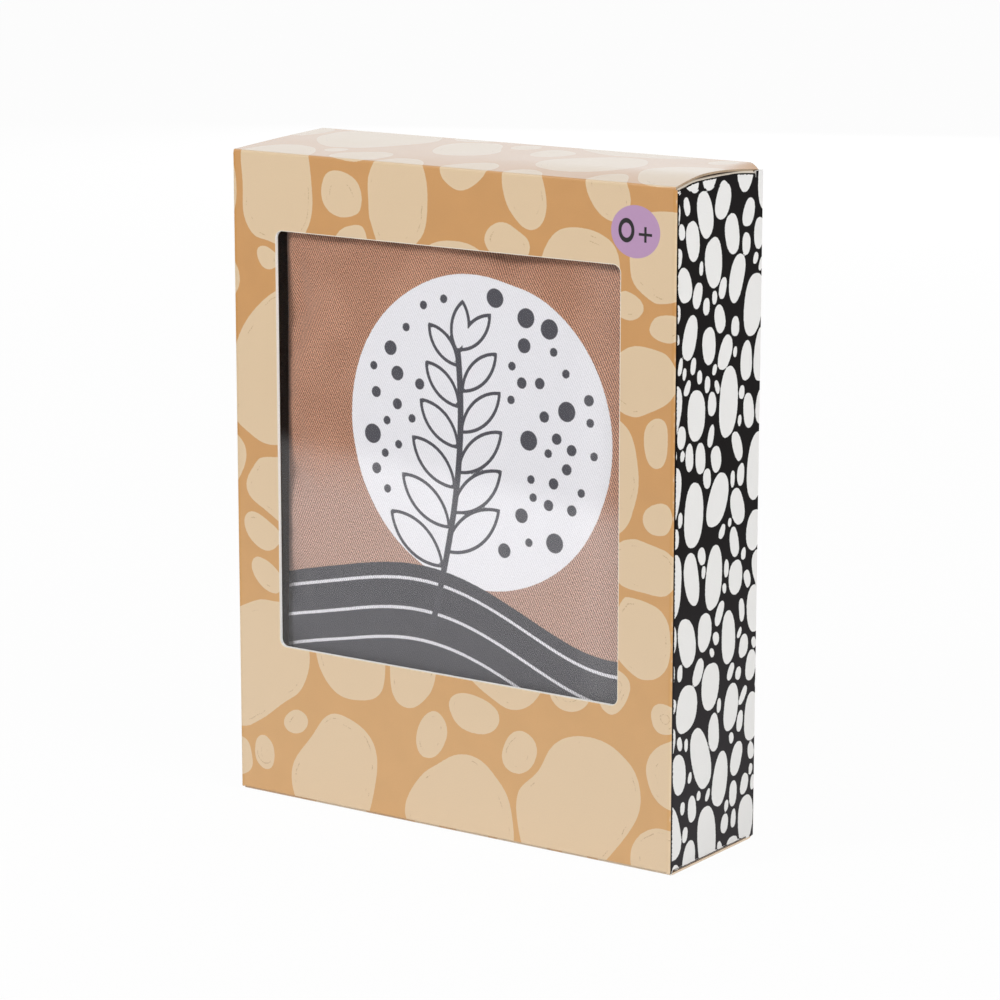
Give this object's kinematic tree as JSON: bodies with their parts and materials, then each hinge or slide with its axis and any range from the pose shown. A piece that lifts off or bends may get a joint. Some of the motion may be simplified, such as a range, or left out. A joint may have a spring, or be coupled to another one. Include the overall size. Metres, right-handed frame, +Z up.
{
  "type": "boxed soft book",
  "caption": "Padded cloth picture book for a baby, standing in its printed folding carton with a film window, tuck lids and dust flaps.",
  "frame": {"origin": "middle of the carton's footprint, at the height of the surface that it stands on", "axes": "+Z up, the window faces -Y, +X to the right of someone who faces the window"},
  "size_m": [0.15, 0.044, 0.1916],
  "materials": {
    "amber_print": "white lined folding board, offset printed in ambers, semi-gloss",
    "black_print": "white lined folding board, offset printed in black and white, semi-gloss",
    "bare_board": "unprinted folding board",
    "film": "clear window film",
    "cover_cloth": "printed cotton twill",
    "page_cloth": "plain cotton",
    "wadding": "polyester wadding"
  },
  "bodies": {
    "carton": {"front_panel": "amber_print", "right_side_panel": "black_print", "left_side_panel": "black_print", "back_panel": "amber_print", "glue_flap": "bare_board", "window_film": "film"},
    "top_lid_panel": {"top_lid": "amber_print"},
    "top_tuck": {"top_tuck_flap": "amber_print"},
    "top_left_dust": {"top_left_dust_flap": "bare_board"},
    "top_right_dust": {"top_right_dust_flap": "bare_board"},
    "bottom_lid_panel": {"bottom_lid": "amber_print"},
    "bottom_tuck": {"bottom_tuck_flap": "amber_print"},
    "bottom_left_dust": {"bottom_left_dust_flap": "bare_board"},
    "bottom_right_dust": {"bottom_right_dust_flap": "bare_board"},
    "book": {"front_cover_print": "cover_cloth", "front_cover_wadding": "wadding", "front_cover_lining": "page_cloth", "leaf_1_front_cloth": "page_cloth", "leaf_1_wadding": "wadding", "leaf_1_back_cloth": "page_cloth", "leaf_2_front_cloth": "page_cloth", "leaf_2_wadding": "wadding", "leaf_2_back_cloth": "page_cloth", "leaf_3_front_cloth": "page_cloth", "leaf_3_wadding": "wadding", "leaf_3_back_cloth": "page_cloth", "leaf_4_front_cloth": "page_cloth", "leaf_4_wadding": "wadding", "leaf_4_back_cloth": "page_cloth", "back_cover_lining": "page_cloth", "back_cover_wadding": "wadding", "back_cover_print": "cover_cloth", "spine_cloth": "cover_cloth"}
  },
  "joints": [
    {"name": "top_lid_hinge", "type": "hinge", "parent": "carton", "child": "top_lid_panel", "pos_m": [0, -0.022, 0.18925], "axis": [1, 0, 0], "range_deg": [0, 180]},
    {"name": "top_tuck_fold", "type": "hinge", "parent": "top_lid_panel", "child": "top_tuck", "pos_m": [0, 0.02047, 0.19083], "axis": [-1, 0, 0], "range_deg": [-6.9, 25]},
    {"name": "top_left_dust_hinge", "type": "hinge", "parent": "carton", "child": "top_left_dust", "pos_m": [-0.075, 0, 0.18835], "axis": [0, -1, 0], "range_deg": [0, 90]},
    {"name": "top_right_dust_hinge", "type": "hinge", "parent": "carton", "child": "top_right_dust", "pos_m": [0.075, 0, 0.18835], "axis": [0, 1, 0], "range_deg": [0, 90]},
    {"name": "bottom_lid_hinge", "type": "hinge", "parent": "carton", "child": "bottom_lid_panel", "pos_m": [0, 0.022, 0.00075], "axis": [1, 0, 0], "range_deg": [0, 180]},
    {"name": "bottom_tuck_fold", "type": "hinge", "parent": "bottom_lid_panel", "child": "bottom_tuck", "pos_m": [0, -0.0205, 0.00075], "axis": [-1, 0, 0], "range_deg": [-6.9, 0]},
    {"name": "bottom_left_dust_hinge", "type": "hinge", "parent": "carton", "child": "bottom_left_dust", "pos_m": [-0.075, 0, 0.00165], "axis": [0, 1, 0], "range_deg": [0, 90]},
    {"name": "bottom_right_dust_hinge", "type": "hinge", "parent": "carton", "child": "bottom_right_dust", "pos_m": [0.075, 0, 0.00165], "axis": [0, -1, 0], "range_deg": [0, 90]},
    {"name": "book_lift", "type": "slide", "parent": "carton", "child": "book", "axis": [0, 0, 1], "range_m": [0, 0.014]}
  ],
  "couplings": [
    {"joint": "top_left_dust_hinge", "follows": "top_lid_hinge", "ratio": 0.5},
    {"joint": "top_right_dust_hinge", "follows": "top_lid_hinge", "ratio": 0.5},
    {"joint": "bottom_left_dust_hinge", "follows": "bottom_lid_hinge", "ratio": 0.5},
    {"joint": "bottom_right_dust_hinge", "follows": "bottom_lid_hinge", "ratio": 0.5}
  ]
}
